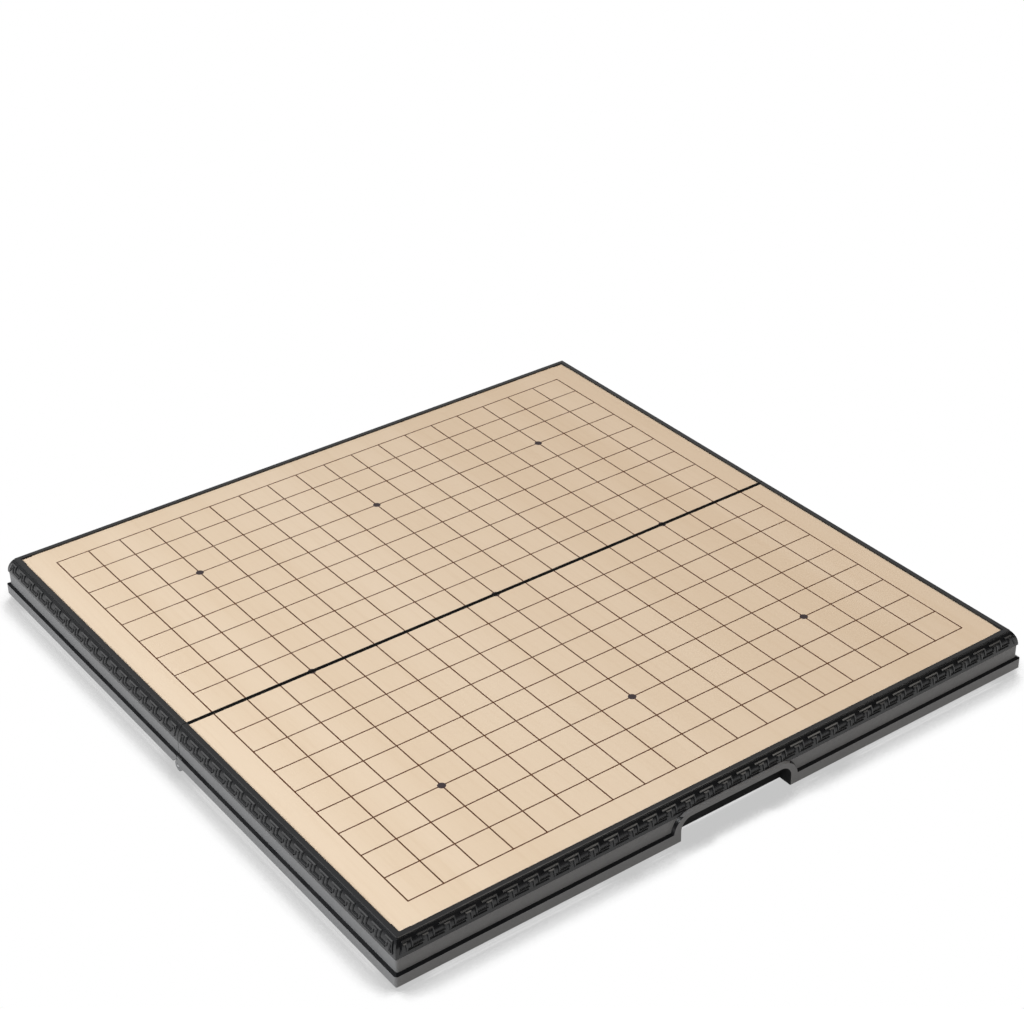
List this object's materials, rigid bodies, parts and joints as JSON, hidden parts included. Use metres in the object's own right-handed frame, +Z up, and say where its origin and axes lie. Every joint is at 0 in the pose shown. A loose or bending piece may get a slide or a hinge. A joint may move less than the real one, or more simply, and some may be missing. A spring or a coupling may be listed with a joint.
{
  "type": "folding go board",
  "caption": "Square go board that folds in half on pinned moulded knuckles into a flat case: black fret-rimmed trays, each with a printed steel playing sheet on top.",
  "frame": {"origin": "below the middle of the fold, level with the lowest line of the hinge knuckles, board open", "axes": "+X along the fold, +Y from the near half to the far half, +Z up out of the playing side"},
  "size_m": [0.36, 0.3622, 0.0242],
  "materials": {
    "black_moulding": "fine satin texture on the band and flange, polished fret and ledge",
    "printed_sheet": "satin varnish over printed pale wood grain",
    "pin_steel": "bright drawn wire",
    "magnet_plating": "nickel plate",
    "tape_film": "matt"
  },
  "bodies": {
    "near_half": {"near_frame": "black_moulding", "near_playing_sheet": "printed_sheet", "near_sheet_tape": "tape_film", "left_hinge_pin": "pin_steel", "right_hinge_pin": "pin_steel", "near_left_magnet": "magnet_plating", "near_right_magnet": "magnet_plating"},
    "far_half": {"far_frame": "black_moulding", "far_playing_sheet": "printed_sheet", "far_sheet_tape": "tape_film", "far_left_magnet": "magnet_plating", "far_right_magnet": "magnet_plating"}
  },
  "joints": [
    {"name": "fold", "type": "hinge", "parent": "near_half", "child": "far_half", "pos_m": [0, 0, 0.0028], "axis": [-1, 0, 0], "range_deg": [0, 180]}
  ]
}
